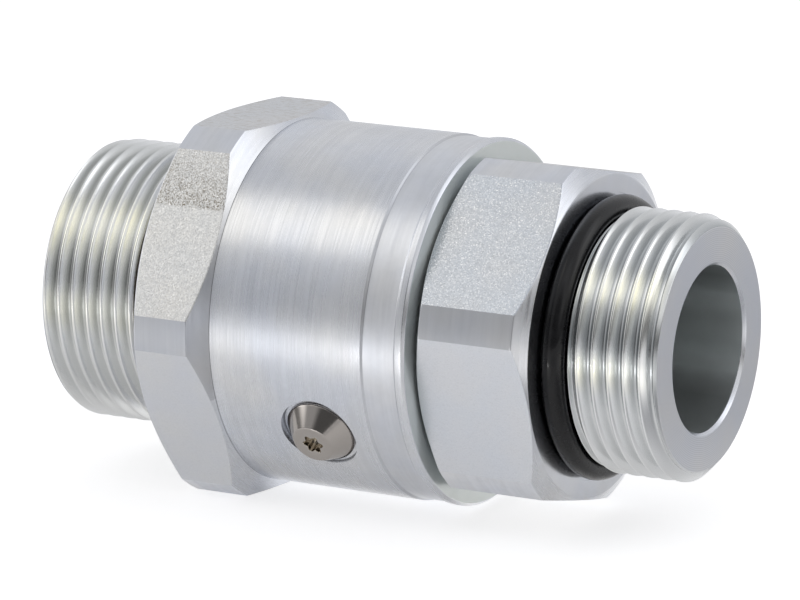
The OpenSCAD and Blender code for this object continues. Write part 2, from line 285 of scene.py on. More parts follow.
# Colours of the plate, and of what lies on it
ZINC = (0.725, 0.745, 0.79)
ZINC_WARM = (0.75, 0.755, 0.77)
ZINC_COOL = (0.70, 0.725, 0.785)
ZINC_STREAK = (0.35, 0.36, 0.38)
ZINC_MOTTLE = (0.42, 0.44, 0.47)
ZINC_RING = (0.40, 0.41, 0.44)
ZINC_THREAD = (0.93, 0.94, 0.945)
ZINC_YELLOW = (0.99, 0.975, 0.84)
# Painted shade on the threads, in some spans round them
ZINC_PAINTED_SHADE = (0.55, 0.56, 0.555)
GRAIN_DARK = (0.38, 0.38, 0.37)
GRAIN_LIGHT = (0.98, 0.98, 0.98)
WORN_BROWN = (0.34, 0.28, 0.20)
PATCH_DARK = (0.20, 0.17, 0.13)
RELIEF_DULL = (0.56, 0.565, 0.575)
# Brownish deposit in the relief, partly painted shade
RESIDUE_AND_SHADE = ((0.12, 0.10, 0.08), (0.05, 0.04, 0.03))
# Noises: features to the millimetre, detail, stretch along the axes, roughness
PLATE_CLOUD = (0.09, 3)
PLATE_MOTTLE = (0.5, 4, (1, 1, 1), 0.65)
TURNING_STREAKS = (1.2, 2, (1, 0.06, 0.06))
DRAWN_CLOUD = (0.12, 3)
DRAWN_SCRATCHES = (1.8, 4, (0.45, 1.4, 1), 0.7)
SPARKLES = (5.0, 2)
# Noise of the painted sparkles on the glinting flat
PATCH_SPECKS = (5.0, 3, (1, 1, 1), 0.85)
THREAD_LINES = (5.0, 2, (1, 0.02, 0.02), 0.5)
GRAIN = 0.13
# Angles round the axis in degrees: spans, or a middle with its half width
# Pale yellow-green chromate tint, laid where the highlights fall: partly the plate's tint, partly painted
# highlight
CHROMATE_AND_HIGHLIGHT_BANDS = [(56, 24, 1.0), (92, 14, 0.6)]
# Where the painted shade in the threads' roots gives way to painted light: a middle, half width and share,
# and a span below
PAINTED_ROOT_LIGHT = {"middle": 58, "half_width": 22, "share": 0.5, "below": (94, 112, 0.6)}
# Painted shade and light in the bore: darker above and below, lighter at the sides
BORE_SHADE_BANDS = {"away": 23, "half_width": 18, "least": 0.62, "sides": (28, 48), "light": 0.85}
PATCH_START = (34, 50)
PATCH_END = (51.0, 51.8)
# Side where the relief's deposit and painted shade are darkest: middle and half width
SHADED_RESIDUE_SIDE = (82, 48)


def toned(colour, share):
    """Colour made lighter or darker."""
    return tuple(c * share for c in colour)


def turned_zinc(name, line_depth, roughness, lines=4.0, share=1.0):
    """Zinc plate over turned steel: fine lines round the axis, a few coarser ones and a faint mottle."""
    finish = Finish(name, ZINC, roughness)
    fine = finish.noise(lines, 2, (1, 0.02, 0.02), 0.6)
    streaks = finish.spread(finish.noise(*TURNING_STREAKS), 0.35, 0.65, 0.12, 0)
    mottle = finish.share(finish.noise(*PLATE_MOTTLE), 0.42, 0.62, 0.08)
    cloud = finish.share(finish.noise(*PLATE_CLOUD))
    tint = finish.blend(cloud, toned(ZINC_COOL, share), toned(ZINC_WARM, share))
    tint = finish.blend(streaks, tint, ZINC_STREAK)
    tint = finish.blend(mottle, tint, ZINC_MOTTLE)
    return finish.wire(Base_Color=tint, Roughness=finish.roughened(fine, 0.05, 0.06),
                       Normal=finish.bump(fine, line_depth))


def faced_zinc(name, roughness, feed, share):
    """Zinc plate over a faced end: fine rings round the axis, one for each feed in millimetres."""
    finish = Finish(name, ZINC, roughness)
    rings = finish.maths("SINE", finish.maths("MULTIPLY", finish.radius(), 2 * math.pi / feed))
    tint = finish.blend(finish.share(finish.noise(*PLATE_CLOUD)), ZINC_COOL, ZINC_WARM)
    tint = finish.blend(finish.spread(rings, -1, 1, 0, share), tint, ZINC_RING)
    return finish.wire(Base_Color=tint, Normal=finish.bump(rings, 0.0008))


def bored_zinc(name, colour, metallic, roughness, shade_banding):
    """Greener, duller plate of the bore and the mouth; its bands of painted shade and light make it darker
    above and below and lighter at the sides, with soft bands along X between."""
    finish = Finish(name, colour, roughness, metallic)
    bands = BORE_SHADE_BANDS
    upright = finish.maths("ABSOLUTE", finish.angle())
    away = finish.maths("ABSOLUTE", finish.maths("SUBTRACT", upright, 90))
    band = finish.spread(finish.near(away, bands["away"], bands["half_width"]), 0, 1, bands["least"], 1.0)
    sides = finish.maths("MULTIPLY", band, finish.spread(away, *bands["sides"], 1, 0))
    dark, light = toned(colour, 1 - shade_banding), toned(colour, 1 + bands["light"] * shade_banding)
    rough = finish.roughened(finish.noise(0.8, 2), 0.04, 0.06)
    return finish.wire(Base_Color=finish.blend(sides, dark, light), Roughness=rough)


def threaded_zinc(name, roughness, major_r, root, shaded_spans):
    """Plate on a thread: painted shade towards the roots, lighter at some angles as painted light, and a
    pale yellow-green chromate tint that is partly painted highlight; painted shade in some spans round it,
    each (middle, half width, share)."""
    finish = Finish(name, ZINC, roughness)
    angle = finish.angle()

    def span(middle, half_width, share):
        return finish.maths("MULTIPLY", finish.near(angle, middle, half_width), share)

    # Chromate tint that is partly painted highlight, at the highlights' angles
    bands = finish.maths("MAXIMUM", *[span(*band) for band in CHROMATE_AND_HIGHLIGHT_BANDS])
    cloud = finish.spread(finish.noise(0.15, 2), 0.35, 0.6, 0.4, 0.9)
    colour = finish.blend(finish.maths("MULTIPLY", bands, cloud), ZINC_THREAD, ZINC_YELLOW)
    # Painted shade: the thread is darkened in these spans round it, where its highlights would be strong
    for dull in shaded_spans:
        colour = finish.blend(span(*dull), colour, ZINC_PAINTED_SHADE)
    # Painted shade in the grooves: the root colour darkens them, and painted light lifts it at some angles
    low, high, most = PAINTED_ROOT_LIGHT["below"]
    root_light = span(PAINTED_ROOT_LIGHT["middle"], PAINTED_ROOT_LIGHT["half_width"], PAINTED_ROOT_LIGHT["share"])
    root_light = finish.maths("MAXIMUM", root_light, finish.spread(angle, low, high, 0, most))
    height = finish.spread(finish.radius(), major_r - THREAD_DEPTH, major_r - 0.25 * THREAD_DEPTH, 0, 1)
    colour = finish.blend(height, finish.blend(root_light, root, ZINC_THREAD), colour)
    return finish.wire(Base_Color=colour, Normal=finish.bump(finish.noise(*THREAD_LINES), 0.003))


def drawn_zinc(name, colours, tilt, roughness, marks=None):
    """Plate on the drawn flats: fine grains that glint, and perhaps a worn patch, painted sparkles or
    scratches.
    """
    finish = Finish(name, colours[0], roughness)
    tone, normal = finish.grains(GRAIN, tilt)
    base = finish.blend(finish.share(finish.noise(*DRAWN_CLOUD)), *colours)
    base = finish.blend(finish.spread(tone, 0.0, 0.25, tilt * 3, 0), base, GRAIN_DARK)
    base = finish.blend(finish.spread(tone, 0.8, 1.0, 0, tilt * 4), base, GRAIN_LIGHT)
    if marks == "patch":
        angle = finish.angle()
        specks = finish.share(finish.noise(*PATCH_SPECKS), 0.48, 0.58, 0.95)
        inside = finish.spread(angle, *PATCH_END, 1, 0)
        share = finish.maths("MULTIPLY", finish.spread(angle, *PATCH_START, 0.35, 1.0), inside)
        base = finish.blend(finish.maths("MULTIPLY", specks, share), base, PATCH_DARK)
    # Painted glints: white specks in the colour, more towards the top of the flat
    if marks == "sparkles":
        glints = finish.share(finish.noise(*SPARKLES), 0.60, 0.70, 0.85)
        share = finish.spread(finish.angle(), 45, 70, 1.0, 0.3)
        base = finish.blend(finish.maths("MULTIPLY", glints, share), base, (1, 1, 1))
    if marks == "scratches":
        scratches = finish.share(finish.noise(*DRAWN_SCRATCHES), 0.50, 0.64, 0.4)
        base = finish.blend(scratches, base, WORN_BROWN)
    rough = finish.spread(tone, 0.0, 1.0, roughness + 0.06, roughness - 0.08)
    return finish.wire(Base_Color=base, Roughness=rough, Normal=normal)


def relief_zinc(name, by_thread, clear):
    """Dull plate in the relief by the hexagon, with a brownish deposit that is partly painted shade in the
    recess, darkest on one side where the shade is painted, thinning out between two stations."""
    finish = Finish(name, ZINC, 0.42, 0.85)
    deposit_and_shade = finish.blend(finish.share(finish.noise(2.0), 0.4, 0.6), *RESIDUE_AND_SHADE)
    # Painted shade: the deposit is darkest on one side
    shade_side = finish.spread(finish.near(finish.angle(), *SHADED_RESIDUE_SIDE), 0.0, 0.5, 0.2, 1.0)
    along = finish.add("ShaderNodeSeparateXYZ", {0: finish.place}).outputs["X"]
    share = finish.maths("MULTIPLY", shade_side, finish.spread(along, by_thread, clear, 1.0, 0.0))
    return finish.wire(Base_Color=finish.blend(share, RELIEF_DULL, deposit_and_shade))


def dark_rubber(name, colour, roughness):
    """Moulded rubber with a faint bloom."""
    finish = Finish(name, colour, roughness, 0.0)
    finish.set(Specular_IOR_Level=0.2, Coat_Weight=0.3, Coat_Roughness=0.08)
    bloom = finish.noise(0.8, 4)
    tone = finish.blend(finish.share(bloom, 0.4, 0.7, 0.5), colour, toned(colour, 1.8))
    return finish.wire(Base_Color=tone, Roughness=finish.roughened(bloom, 0.04, 0.08),
                       Normal=finish.bump(finish.noise(6, 2), 0.002))


def bright_steel(name, colour, roughness):
    """Ground or rolled steel with faint scratches."""
    finish = Finish(name, colour, roughness)
    scratches = finish.noise(2.5, 4, (1, 0.3, 0.3), 0.6)
    rough = finish.roughened(scratches, 0.2 * roughness, 0.25 * roughness)
    return finish.wire(Roughness=rough, Normal=finish.bump(scratches, 0.002))


def woven_resin(name, colour):
    """Fabric-filled resin strip of the wear rings."""
    finish = Finish(name, colour, 0.55, 0.0)
    weave = finish.noise(3.0, 2, (1, 0.6, 0.6))
    tone = finish.blend(finish.share(weave), colour, toned(colour, 0.7))
    return finish.wire(Base_Color=tone, Normal=finish.bump(weave, 0.02))


def waxy_polymer(name, colour):
    """Waxy white back-up rings."""
    finish = Finish(name, colour, 0.45, 0.0)
    cloud = finish.noise(0.5)
    tone = finish.blend(finish.share(cloud, 0.4, 0.6), colour, toned(colour, 0.93))
    return finish.wire(Base_Color=tone, Normal=finish.bump(cloud, 0.005))


# Shells of revolution
class Outline:
    """Closed outline of a piece round the axis; every point holds one value for each column."""

    def __init__(self, columns):
        self.columns = columns
        self.points = []

    def to(self, x, r, zone, fillet=0.0, step=None):
        """Runs a straight face of that zone to the next corner, in steps where they are asked for."""
        spread = np.zeros(self.columns)
        self.points.append((spread + x, spread + r, zone, fillet, step))
        return self

    def arc(self, x, centre_r, radius, start, end, zone, steps=16):
        """Runs a round groove, from one angle to the other in degrees from +r towards +x."""
        for share in range(1, steps):
            turn = math.radians(start + (end - start) * share / steps)
            self.to(x + radius * math.sin(turn), centre_r + radius * math.cos(turn), zone)
        return self

    def rows(self):
        """All rows as (points of shape rows x columns x 2, zones); zone i lies before row i."""
        corners = [np.stack((x, r), 1) for x, r, *_ in self.points]
        rows, zones, arcs = [], [], []
        for i, here in enumerate(corners):
            before, after = corners[i - 1], corners[(i + 1) % len(corners)]
            fillet = self.points[i][3]
            if not fillet:
                arcs.append([here])
                continue
            back, on = before - here, after - here
            back_l = np.linalg.norm(back, axis=1, keepdims=True)
            on_l = np.linalg.norm(on, axis=1, keepdims=True)
            trim = np.minimum(fillet, MOST_TRIM * np.minimum(back_l, on_l))
            first, last = here + back / back_l * trim, here + on / on_l * trim
            shares = [k / FILLET_STEPS for k in range(FILLET_STEPS + 1)]
            arcs.append([first * (1 - t) ** 2 + here * 2 * t * (1 - t) + last * t ** 2 for t in shares])
        for i, arc in enumerate(arcs):
            zone, step = self.points[i][2], self.points[i][4]
            start, end = arcs[i - 1][-1], arc[0]
            length = np.linalg.norm(end - start, axis=1, keepdims=True)
            if step:
                pieces = max(1, round(float(length.max()) / step))
                shares = [k / pieces for k in range(1, pieces)]
            elif float(length.max()) > LONG_FACE:
                edge = np.minimum(END_ROW / np.maximum(length, 1e-6), END_SHARE)
                shares = [edge, 1 - edge]
            else:
                shares = []
            for share in shares:
                rows.append(start + (end - start) * share)
                zones.append(zone)
            rows.extend(arc)
            zones.extend([zone] * len(arc))
        return np.array(rows), zones


def add_object(name, data):
    """Puts a new object into the scene."""
    piece = bpy.data.objects.new(name, data)
    bpy.context.scene.collection.objects.link(piece)
    return piece


def build_shell(name, angles, outline, finish_of):
    """Mesh object of a closed outline; finish_of(zone, column) gives the number of a face's finish."""
    rows, zones = outline.rows()
    row_count, column_count = rows.shape[:2]
    turn = np.radians(angles)
    spots = np.empty((row_count, column_count, 3))
    spots[:, :, 0] = rows[:, :, 0]
    spots[:, :, 1] = -rows[:, :, 1] * np.sin(turn)
    spots[:, :, 2] = rows[:, :, 1] * np.cos(turn)
    row = np.repeat(np.arange(row_count), column_count)
    column = np.tile(np.arange(column_count), row_count)
    before = (row - 1) % row_count
    beside = (column + 1) % column_count
    quads = np.stack((before * column_count + column, before * column_count + beside,
                      row * column_count + beside, row * column_count + column), 1)
    mesh = bpy.data.meshes.new(name)
    mesh.from_pydata(spots.reshape(-1, 3) * MM, [], quads.tolist())
    table = {zone: [finish_of(zone, c) for c in range(column_count)] for zone in set(zones)}
    numbers = np.concatenate([table[zone] for zone in zones]).astype(np.int32)
    mesh.polygons.foreach_set("material_index", numbers)
    return add_object(name, mesh)


def hexagon_columns(half, corner_r, turn):
    """Angles of a hexagon's columns, its radius at each, and the flat that each starts, or None."""
    reach = math.degrees(math.acos(half / corner_r))
    angles, radii, on_flat = [], [], []
    for flat in range(6):
        middle = 60 * flat + turn
        for k in range(FLAT_STEPS):
            off = -reach + 2 * reach * k / FLAT_STEPS
            angles.append(middle + off)
            radii.append(half / math.cos(math.radians(off)))
            on_flat.append(flat)
        for k in range(CORNER_STEPS):
            off = reach + (60 - 2 * reach) * k / CORNER_STEPS
            angles.append(middle + off)
            radii.append(corner_r)
            on_flat.append(None)
    return np.array(angles), np.array(radii), on_flat


def shade(piece, thread_spans):
    """Smooth faces, with a hard edge where two faces meet at a corner outside the threads."""
    mesh = piece.data
    work = bmesh.new()
    work.from_mesh(mesh)
    bmesh.ops.remove_doubles(work, verts=work.verts, dist=1e-8)
    for face in work.faces:
        face.smooth = True
    for edge in work.edges:
        if len(edge.link_faces) != 2:
            continue
        x, y, z = [along / MM for along in edge.verts[0].co]
        in_thread = any(low < x < high and math.hypot(y, z) > r for low, high, r in thread_spans)
        edge.smooth = in_thread or edge.calc_face_angle(0) < SHARP_ANGLE
    work.to_mesh(mesh)
    work.free()


def apply_modifiers(piece):
    """Makes the piece with its modifiers a plain mesh."""
    bpy.context.view_layer.update()
    graph = bpy.context.evaluated_depsgraph_get()
    mesh = bpy.data.meshes.new_from_object(piece.evaluated_get(graph), depsgraph=graph)
    piece.modifiers.clear()
    old = piece.data
    piece.data = mesh
    bpy.data.meshes.remove(old)
    mesh.name = piece.name


# Helical threads
def thread_tree():
    """Geometry Nodes tree that cuts a right-hand thread into a turned wall along the X axis."""
    tree = bpy.data.node_groups.new("helical thread", "GeometryNodeTree")
    tree.interface.new_socket("Wall", in_out="INPUT", socket_type="NodeSocketGeometry")
    for label in ("Major Radius", "Pitch", "Depth", "Start", "End", "First Crest"):
        tree.interface.new_socket(label, in_out="INPUT", socket_type="NodeSocketFloat")
    tree.interface.new_socket("Finish", in_out="INPUT", socket_type="NodeSocketMaterial")
    tree.interface.new_socket("Wall", in_out="OUTPUT", socket_type="NodeSocketGeometry")
    cut = Nodes(tree)
    maths = cut.maths
    given = cut.add("NodeGroupInput").outputs
    place = cut.add("GeometryNodeInputPosition").outputs[0]
    x, y, z = cut.add("ShaderNodeSeparateXYZ", {0: place}).outputs
    radius = maths("SQRT", maths("ADD", maths("MULTIPLY", y, y), maths("MULTIPLY", z, z)))
    # Way from a crest, 0 there and 1 at a root, and how deep the thread is cut there
    turns = maths("DIVIDE", maths("ARCTAN2", maths("MULTIPLY", y, -1.0), z), 2 * math.pi)
    along = maths("DIVIDE", maths("SUBTRACT", x, given["First Crest"]), given["Pitch"])
    from_crest = maths("MULTIPLY", maths("PINGPONG", maths("SUBTRACT", along, turns), 0.5), 2.0)
    form = cut.add("ShaderNodeFloatCurve", {"Value": from_crest})
    curve = form.mapping.curves[0]
    curve.points[0].location = (0.0, 0.0)
    curve.points[1].location = (1.0, 1.0)
    for point in THREAD_FORM:
        curve.points.new(*point)
    for point in curve.points:
        point.handle_type = "AUTO_CLAMPED"
    form.mapping.update()
    cut_r = maths("SUBTRACT", given["Major Radius"], maths("MULTIPLY", form.outputs[0], given["Depth"]))
    scale = maths("DIVIDE", maths("MINIMUM", radius, cut_r), maths("MAXIMUM", radius, 1e-6))
    moved = {0: x, 1: maths("MULTIPLY", y, scale), 2: maths("MULTIPLY", z, scale)}
    # Only the wall of the thread's span moves, and takes the thread's finish
    root = maths("SUBTRACT", maths("SUBTRACT", given["Major Radius"], given["Depth"]), ROOT_MARGIN * MM)
    begun, ended = maths("GREATER_THAN", x, given["Start"]), maths("LESS_THAN", x, given["End"])
    chosen = maths("MULTIPLY", maths("MULTIPLY", begun, ended), maths("GREATER_THAN", radius, root))
    moving = {"Geometry": given["Wall"], "Selection": chosen,
              "Position": cut.add("ShaderNodeCombineXYZ", moved).outputs[0]}
    wall = cut.add("GeometryNodeSetPosition", moving).outputs[0]
    real = cut.add("GeometryNodeRealizeInstances", {0: wall}).outputs[0]
    dressing = {"Geometry": real, "Selection": chosen, "Material": given["Finish"]}
    cut.add("NodeGroupOutput", {0: cut.add("GeometryNodeSetMaterial", dressing).outputs[0]})
    return tree


def cut_thread(piece, tree, major_r, cut, first_crest, finish):
    """Puts the thread tree on a piece; its radius and stations are in millimetres."""
    sizes = {"Major Radius": major_r, "Pitch": PITCH, "Depth": THREAD_DEPTH,
             "Start": cut[0], "End": cut[1], "First Crest": first_crest}
    modifier = piece.modifiers.new("thread", "NODES")
    modifier.node_group = tree
    for item in tree.interface.items_tree:
        if item.in_out == "INPUT" and item.name in sizes:
            modifier[item.identifier] = float(sizes[item.name] * MM)
        if item.in_out == "INPUT" and item.name == "Finish":
            modifier[item.identifier] = finish


# The housing
# Turned faces: depth of the lines, roughness, lines to the millimetre, share of the plate's colour
TURNED_FACES = {
    "barrel": (0.005, 0.28, 4.0, 1.0), "band": (0.004, 0.34, 2.5, 1.0), "step": (0.003, 0.36, 5.0, 0.88),
    "seam": (0.003, 0.42, 5.0, 0.38), "shoulder": (0.002, 0.18, 3.0, 1.0),
    # The shaded corner and chamfer are copies darkened as painted shade; the lit corner is lightened as
    # painted light
    "corner": (0.003, 0.42, 5.0, 1.0), "dull corner": (0.003, 0.42, 5.0, 0.72),
    "pale corner": (0.003, 0.42, 5.0, 1.18),
    "chamfer": (0.003, 0.26, 4.0, 1.0), "dull chamfer": (0.003, 0.32, 4.0, 0.82),
}
# Drawn flats: two colours, lean of the grains, roughness, and marks where there are some
DRAWN_FLATS = {
    "worn": (((0.66, 0.675, 0.70), (0.68, 0.68, 0.69)), 0.04, 0.38, "scratches"),
    "grainy": (((0.74, 0.745, 0.745), (0.75, 0.745, 0.73)), 0.17, 0.36, "patch"),
    "glinting": (((0.525, 0.56, 0.615), (0.545, 0.565, 0.60)), 0.08, 0.32, "sparkles"),
    "satin": (((0.72, 0.74, 0.79), (0.745, 0.755, 0.775)), 0.02, 0.36),
    "pale": (((0.735, 0.765, 0.82), (0.76, 0.775, 0.81)), 0.03, 0.36),
}
shell_finishes = {zone: turned_zinc(f"{zone} zinc", *looks) for zone, looks in TURNED_FACES.items()}
flats = {name: drawn_zinc(f"{name} flat zinc", *looks) for name, looks in DRAWN_FLATS.items()}
shell_finishes.update({
    "face": faced_zinc("faced zinc", 0.30, feed=0.25, share=0.35),
    "relief": relief_zinc("relief zinc", RELIEF_X + 1.2, RELIEF_X + 2.2),
    "mouth": bored_zinc("mouth zinc", (0.74, 0.78, 0.765), 0.55, 0.32, shade_banding=0.0),
    # The bore's bands are painted shade and light
    "bore": bored_zinc("bored zinc", (0.715, 0.75, 0.75), 0.84, 0.40, shade_banding=0.40),
    "worn": flats["worn"],
})
# The root colours paint shade in the grooves, and each list of spans paints shade round the thread
face_thread_finish = threaded_zinc("face thread zinc", 0.26, FACE_THREAD_R, (0.50, 0.51, 0.49),
                                   [(12, 29, 0.6), (92, 12, 0.2), (122, 40, 0.42)])
stud_thread_finish = threaded_zinc("stud thread zinc", 0.21, STUD_R, (0.50, 0.52, 0.53),
                                   [(12, 32, 0.65), (68, 16, 0.7), (150, 25, 0.3)])
# The flats of a hexagon, from its first one on; a corner with painted shade follows the second,
# and one with painted light the third
FLAT_ORDER = ["worn", "grainy", "satin", "worn", "grainy", "satin"]
# Where the corners and the barrel's chamfer take painted shade, with painted light on the corners beyond,
# and below which the step beside the band takes painted shade, in degrees
SHADED_SPAN = (60, 110)
STEP_SHADE_END = 82


def finish_picker(angles, on_flat):
    """Function for the number of a zone's finish in a column; grainy and satin are each shell's own."""
    numbers = {zone: k for k, zone in enumerate([*shell_finishes, "grainy", "satin"])}
    numbers["turned"] = numbers["face"]

    def finish_of(zone, column):
        angle = angles[column]
        if zone == "barrel chamfer":
            return numbers["dull chamfer" if SHADED_SPAN[0] < angle < SHADED_SPAN[1] else "chamfer"]
        if zone == "step":
            return numbers["dull chamfer" if angle < STEP_SHADE_END else "step"]
        if zone != "hexagon":
            return numbers[zone]
        if on_flat[column] is not None:
            return numbers[FLAT_ORDER[on_flat[column]]]
        if angle < SHADED_SPAN[0]:
            return numbers["corner"]
        return numbers["dull corner" if angle < SHADED_SPAN[1] else "pale corner"]

    return finish_of


def housing_outline(columns, radii):
    """Outline of the housing with its bore, socket, races and grooves."""
    start_r = HEX_HALF - HEX_STEP
    groove = FACE_GROOVE
    low_r, high_r = groove["mean_r"] - groove["w"] / 2, groove["mean_r"] + groove["w"] / 2
    band_end = MOUTH_X - BAND["lip"]
    line = Outline(columns)
    line.to(FACE_X, FACE_BORE_R, "bore", WIDE_EDGE, BORE_STEP)
    line.to(FACE_X, low_r, "face").to(FACE_X + groove["h"], low_r, "face")
    line.to(FACE_X + groove["h"], high_r, "face").to(FACE_X, high_r, "face")
    line.to(FACE_X, FACE_THREAD_R - FACE_CHAMFER, "face", EDGE)
    line.to(FACE_X + FACE_CHAMFER, FACE_THREAD_R, "turned", 0, ROW_STEP)
    line.to(RELIEF_X, FACE_THREAD_R, "turned", 0, ROW_STEP)
    relief_r = FACE_THREAD_R - FACE_RELIEF_H
    line.to(RELIEF_X + FACE_RELIEF_SLOPE * FACE_RELIEF_H, relief_r, "relief", 0, ROW_STEP)
    line.to(HEX_X, relief_r, "relief", FOOT_FILLET)
    line.to(HEX_X, start_r, "face", FINE_EDGE)
    line.to(HEX_X + (radii - start_r) * HEX_SLOPE, radii, "chamfer", EDGE)
    line.to(BARREL_X - (radii - BARREL_R) * HEX_SLOPE, radii, "hexagon", EDGE)
    line.to(BARREL_X, BARREL_R, "barrel chamfer").to(BARREL_X + SEAM_W, BARREL_R, "seam")
    line.to(band_end - BAND["w"] - BAND["h"], BARREL_R, "barrel", FINE_EDGE, BARREL_STEP)
    line.to(band_end - BAND["w"], BARREL_R - BAND["h"], "step", EDGE)
    line.to(band_end - BAND["h"], BARREL_R - BAND["h"], "band", EDGE, BAND_STEP)
    line.to(band_end, BARREL_R, "barrel", FINE_EDGE)
    line.to(MOUTH_X - BARREL_CHAMFER, BARREL_R, "barrel", EDGE)
    line.to(MOUTH_X, BARREL_R - BARREL_CHAMFER, "barrel", EDGE)
    line.to(MOUTH_X, SOCKET_R + MOUTH_CHAMFER, "mouth", FINE_EDGE)
    line.to(MOUTH_X - MOUTH_CHAMFER, SOCKET_R, "face", FINE_EDGE)
    line.to(WIPER["x"] + WIPER["w"], SOCKET_R, "bore").to(WIPER["x"] + WIPER["w"], WIPER["r"], "bore")
    line.to(WIPER["x"], WIPER["r"], "bore").to(WIPER["x"], SOCKET_R, "bore")
    half = math.degrees(math.acos((SOCKET_R - RACE["mean_r"]) / RACE["r"]))
    reach = RACE["r"] * math.sin(math.radians(half))
    line.to(RACE["x"] + reach, SOCKET_R, "bore")
    line.arc(RACE["x"], RACE["mean_r"], RACE["r"], half, -half, "bore")
    line.to(RACE["x"] - reach, SOCKET_R, "bore")
    line.to(SOCKET_X, SOCKET_R, "bore").to(SOCKET_X, FACE_BORE_R, "bore")
    return line


def port_place(spot):
    """A point's level along the port, from the axis, and its distance from the port's axis, in mm."""
    out = Matrix.Rotation(math.radians(PORT_ANGLE), 4, "X") @ Vector((0, 0, 1))
    off = Vector(spot) / MM - Vector((RACE["x"], 0, 0))
    level = off.dot(out)
    return level, (off - out * level).length


def port_cutter():
    """Counterbore, screw hole and loading hole of the port, as one solid."""
    outside = BARREL_R + 2
    stations = [(RACE["mean_r"], 0), (RACE["mean_r"], LOADING_R), (PORT_STEP_R, LOADING_R),
                (PORT_STEP_R, SCREW_R), (CBORE_FLOOR_R, SCREW_R),
                (CBORE_FLOOR_R, CBORE_R - CBORE_LINE_W), (CBORE_FLOOR_R, CBORE_R),
                (outside, CBORE_R), (outside, 0)]
    return port_solid("port cutter", stations)


def port_solid(name, stations, radius_at=None):
    """Solid turned about the port's own axis, from (level, radius) points; radius_at may shape it."""
    spots, quads = [], []
    sides = PORT_SIDES
    for level, r in stations:
        for k in range(sides):
            turn = 2 * math.pi * k / sides
            here = radius_at(r, turn) if radius_at else r
            spots.append((here * math.cos(turn), here * math.sin(turn), level))
    for i in range(len(stations) - 1):
        low, high = i * sides, (i + 1) * sides
        for k in range(sides):
            on = (k + 1) % sides
            quads.append((low + k, low + on, high + on, high + k))
    mesh = bpy.data.meshes.new(name)
    mesh.from_pydata(spots, [], quads)
    work = bmesh.new()
    work.from_mesh(mesh)
    bmesh.ops.remove_doubles(work, verts=work.verts, dist=1e-5)
    work.to_mesh(mesh)
    work.free()
    placed = (Matrix.Translation((RACE["x"] * MM, 0, 0))
              @ Matrix.Rotation(math.radians(PORT_ANGLE), 4, "X") @ Matrix.Scale(MM, 4))
    mesh.transform(placed)
    return add_object(name, mesh)


def make_housing(tree):
    """The housing with its thread and port."""
    angles, radii, on_flat = hexagon_columns(HEX_HALF, HEX_CORNER_R, 0)
    outline = housing_outline(len(angles), radii)
    piece = build_shell("housing_shell", angles, outline, finish_picker(angles, on_flat))
    for finish in (*shell_finishes.values(), flats["grainy"], flats["satin"]):
        piece.data.materials.append(finish)
    cut_thread(piece, tree, FACE_THREAD_R, FACE_CUT, FACE_CREST_X, face_thread_finish)
    cutter = port_cutter()
    for zone in ("barrel", "seam"):
        cutter.data.materials.append(shell_finishes[zone])
    # The holes and a line at the foot of the counterbore take the seam's darker finish, as painted shade in
    # the recess
    for face in cutter.data.polygons:
        level, away = port_place(face.center)
        above_floor = level - CBORE_FLOOR_R
        at_foot = abs(above_floor) < FLOOR_MARGIN and away > CBORE_R - CBORE_LINE_W
        face.material_index = 1 if at_foot or above_floor < -FLOOR_MARGIN else 0
    boolean = piece.modifiers.new("port", "BOOLEAN")
    boolean.material_mode = "TRANSFER"
    boolean.object = cutter
    boolean.operation = "DIFFERENCE"
    boolean.solver = "EXACT"
    apply_modifiers(piece)
    bpy.data.objects.remove(cutter)
    shade(piece, [FACE_SMOOTH])
    return piece


